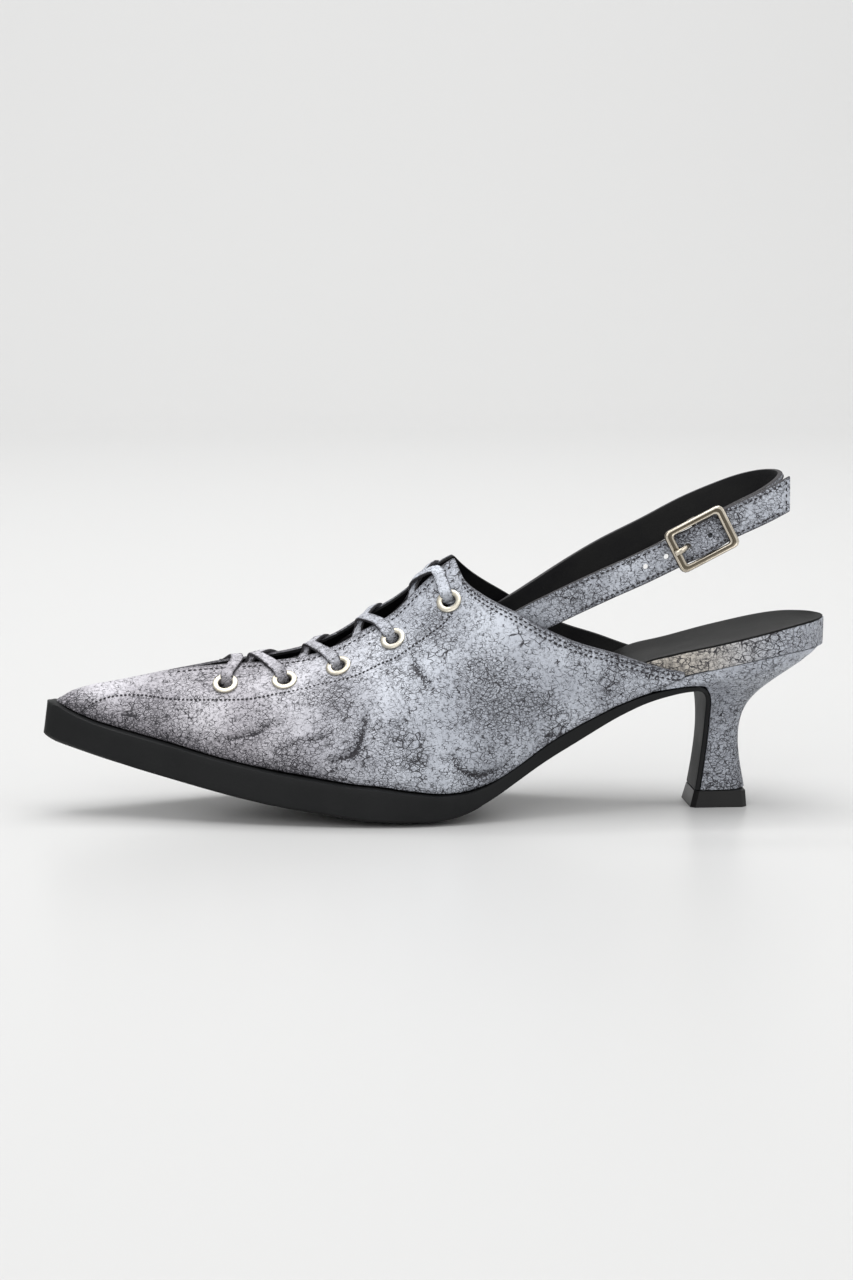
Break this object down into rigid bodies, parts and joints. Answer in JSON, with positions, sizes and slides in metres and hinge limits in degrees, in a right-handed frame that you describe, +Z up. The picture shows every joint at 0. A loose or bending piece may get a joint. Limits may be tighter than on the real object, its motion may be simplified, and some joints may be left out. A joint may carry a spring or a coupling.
{
  "type": "lace up slingback heel",
  "caption": "Left pointed-toe slingback shoe with laced throat, eyelets, ledged sole, kitten heel and buckled heel strap.",
  "frame": {"origin": "centre of the heel top piece's underside, on the floor", "axes": "toe points along -X, the lateral side with the buckle faces -Y, +Z is up; the shoe stands on the plane z = 0"},
  "size_m": [0.26, 0.0754, 0.112],
  "materials": {
    "crackle_leather": "cracked blue-grey finish over black",
    "insole_leather": "smooth semi-matt",
    "sole_rubber": "matt",
    "top_piece_rubber": "semi-gloss",
    "eyelet_silver": "satin",
    "aged_nickel": "aged satin"
  },
  "bodies": {
    "root": {"outsole": "sole_rubber", "insole": "insole_leather", "seat_wrap": "crackle_leather", "upper": "crackle_leather", "heel": "crackle_leather", "top_piece": "top_piece_rubber", "eyelet_lateral_1": "eyelet_silver", "eyelet_lateral_2": "eyelet_silver", "eyelet_lateral_3": "eyelet_silver", "eyelet_lateral_4": "eyelet_silver", "eyelet_lateral_5": "eyelet_silver", "eyelet_medial_1": "eyelet_silver", "eyelet_medial_2": "eyelet_silver", "eyelet_medial_3": "eyelet_silver", "eyelet_medial_4": "eyelet_silver", "eyelet_medial_5": "eyelet_silver", "lace_bar": "crackle_leather", "lace_cross_1": "crackle_leather", "lace_cross_2": "crackle_leather", "lace_cross_3": "crackle_leather", "lace_cross_4": "crackle_leather", "buckle_strap": "crackle_leather", "sling_strap": "crackle_leather", "buckle_frame": "aged_nickel", "buckle_prong": "aged_nickel"}
  },
  "joints": []
}
